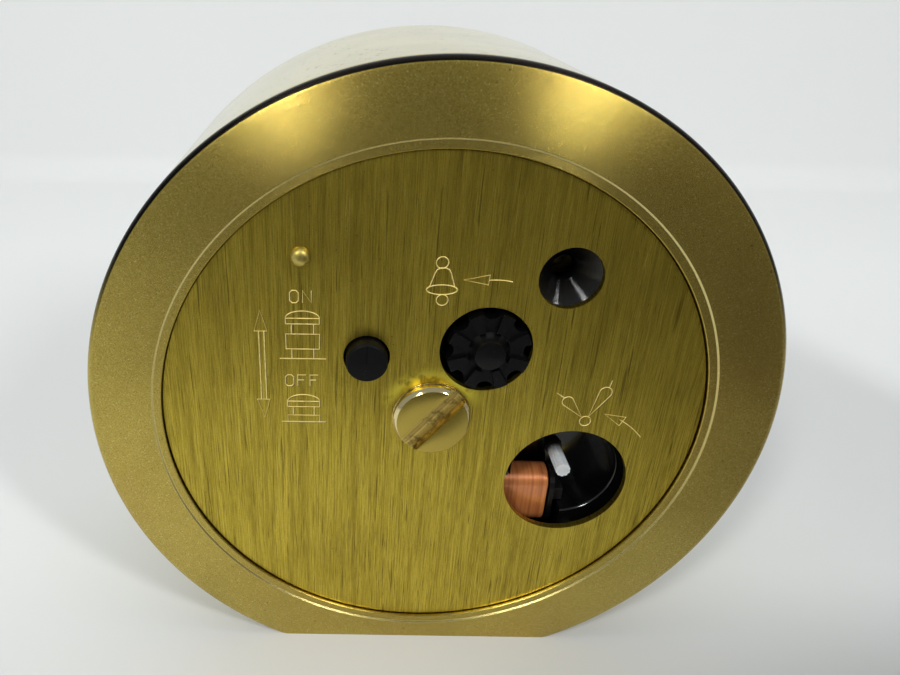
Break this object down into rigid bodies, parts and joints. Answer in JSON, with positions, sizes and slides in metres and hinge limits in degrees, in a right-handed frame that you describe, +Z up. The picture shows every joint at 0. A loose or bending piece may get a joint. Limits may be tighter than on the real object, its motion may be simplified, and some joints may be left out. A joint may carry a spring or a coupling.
{
  "type": "desk alarm clock",
  "caption": "Round brass alarm clock with a flat base, brushed back plate, setting controls and a battery movement with geared hands.",
  "frame": {"origin": "middle of the flat base that the clock stands on", "axes": "+Z up, the dial faces -Y and the back plate faces +Y, +X is right when looking at the dial"},
  "size_m": [0.0886, 0.0384, 0.0832],
  "materials": {
    "polished_brass": "polished",
    "satin_brass": "satin, turned",
    "brushed_brass": "brushed up and down",
    "gear_brass": "machined",
    "steel": "machined",
    "black_gloss": "glossy moulded",
    "black_matt": "matt moulded",
    "nylon": "natural moulded nylon",
    "copper_wire": "enamelled copper wire",
    "board_green": "lacquered board",
    "dial_white": "matt paint",
    "clear_glass": "clear polished",
    "cell_sleeve": "printed metal sleeve"
  },
  "bodies": {
    "case": {"battery": "cell_sleeve", "bezel": "polished_brass", "case_band": "polished_brass", "circuit_board": "board_green", "coil_bobbin": "black_matt", "coil_core": "steel", "coil_winding": "copper_wire", "contact_minus": "steel", "contact_plus": "steel", "crystal": "clear_glass", "dial": "dial_white", "dial_nut": "polished_brass", "dial_seat": "black_matt", "dial_spacer": "satin_brass", "housing_screw_1": "steel", "housing_screw_2": "steel", "housing_screw_3": "steel", "housing_screw_4": "steel", "movement_cover": "black_gloss", "movement_front": "black_matt", "quartz_crystal": "steel", "rear_ring": "satin_brass", "screw_post": "gear_brass", "sounder": "black_matt", "stator": "steel", "stop_contact": "gear_brass", "timing_chip": "black_matt", "train_bridge": "gear_brass", "train_plate": "gear_brass", "trimmer": "gear_brass"},
    "back_plate": {"back_plate": "brushed_brass", "plate_rivet": "polished_brass"},
    "coin_screw": {"coin_screw": "polished_brass"},
    "stop_plunger": {"stop_plunger": "black_matt"},
    "alarm_knob": {"alarm_set_knob": "black_matt", "alarm_spindle": "steel"},
    "alarm_wheel": {"alarm_wheel": "gear_brass", "alarm_hand": "gear_brass"},
    "minute": {"cannon_pinion": "steel", "minute_hand": "black_matt"},
    "hour": {"hour_wheel": "gear_brass", "hour_hand": "black_matt"},
    "motion_wheel": {"motion_wheel": "gear_brass"},
    "set_spindle": {"set_spindle": "nylon"},
    "centre_wheel": {"centre_wheel": "gear_brass"},
    "third_wheel": {"third_wheel": "gear_brass"},
    "second": {"second_wheel": "gear_brass", "second_hand": "polished_brass"},
    "step_wheel": {"step_wheel": "nylon"},
    "rotor": {"rotor": "steel"}
  },
  "joints": [
    {"name": "back_plate_lift", "type": "slide", "parent": "case", "child": "back_plate", "axis": [0, 1, 0], "range_m": [0, 0.03]},
    {"name": "coin_screw_turn", "type": "hinge", "parent": "back_plate", "child": "coin_screw", "pos_m": [0, 0.017, 0.0396], "axis": [0, 1, 0], "continuous": true},
    {"name": "stop_plunger_push", "type": "slide", "parent": "case", "child": "stop_plunger", "axis": [0, 1, 0], "range_m": [0, 0.003]},
    {"name": "alarm_hand_turn", "type": "hinge", "parent": "case", "child": "alarm_wheel", "pos_m": [0, 0, 0.0389], "axis": [0, 1, 0], "continuous": true},
    {"name": "alarm_knob_turn", "type": "hinge", "parent": "case", "child": "alarm_knob", "pos_m": [-0.0064, 0, 0.04935], "axis": [0, 1, 0], "continuous": true},
    {"name": "minute_hand_turn", "type": "hinge", "parent": "case", "child": "minute", "pos_m": [0, 0, 0.0389], "axis": [0, 1, 0], "continuous": true},
    {"name": "hour_hand_turn", "type": "hinge", "parent": "case", "child": "hour", "pos_m": [0, 0, 0.0389], "axis": [0, 1, 0], "continuous": true},
    {"name": "motion_wheel_turn", "type": "hinge", "parent": "case", "child": "motion_wheel", "pos_m": [-0.012, 0, 0.03892], "axis": [0, 1, 0], "continuous": true},
    {"name": "set_spindle_turn", "type": "hinge", "parent": "case", "child": "set_spindle", "pos_m": [-0.0193, 0, 0.0294], "axis": [0, 1, 0], "continuous": true},
    {"name": "second_hand_turn", "type": "hinge", "parent": "case", "child": "second", "pos_m": [0, 0, 0.0389], "axis": [0, 1, 0], "continuous": true},
    {"name": "third_wheel_turn", "type": "hinge", "parent": "case", "child": "third_wheel", "pos_m": [0.01015, 0, 0.03521], "axis": [0, 1, 0], "continuous": true},
    {"name": "centre_wheel_turn", "type": "hinge", "parent": "case", "child": "centre_wheel", "pos_m": [0, 0, 0.0389], "axis": [0, 1, 0], "continuous": true},
    {"name": "step_wheel_turn", "type": "hinge", "parent": "case", "child": "step_wheel", "pos_m": [-0.00369, 0, 0.02875], "axis": [0, 1, 0], "continuous": true},
    {"name": "rotor_turn", "type": "hinge", "parent": "case", "child": "rotor", "pos_m": [0.00319, 0, 0.02393], "axis": [0, 1, 0], "continuous": true}
  ],
  "couplings": [
    {"joint": "alarm_knob_turn", "follows": "alarm_hand_turn", "ratio": -2.7692},
    {"joint": "hour_hand_turn", "follows": "minute_hand_turn", "ratio": 0.083333},
    {"joint": "motion_wheel_turn", "follows": "minute_hand_turn", "ratio": -0.33333},
    {"joint": "set_spindle_turn", "follows": "minute_hand_turn", "ratio": 1},
    {"joint": "third_wheel_turn", "follows": "second_hand_turn", "ratio": -0.13333},
    {"joint": "centre_wheel_turn", "follows": "second_hand_turn", "ratio": 0.016667},
    {"joint": "step_wheel_turn", "follows": "second_hand_turn", "ratio": -5},
    {"joint": "rotor_turn", "follows": "second_hand_turn", "ratio": 30}
  ]
}
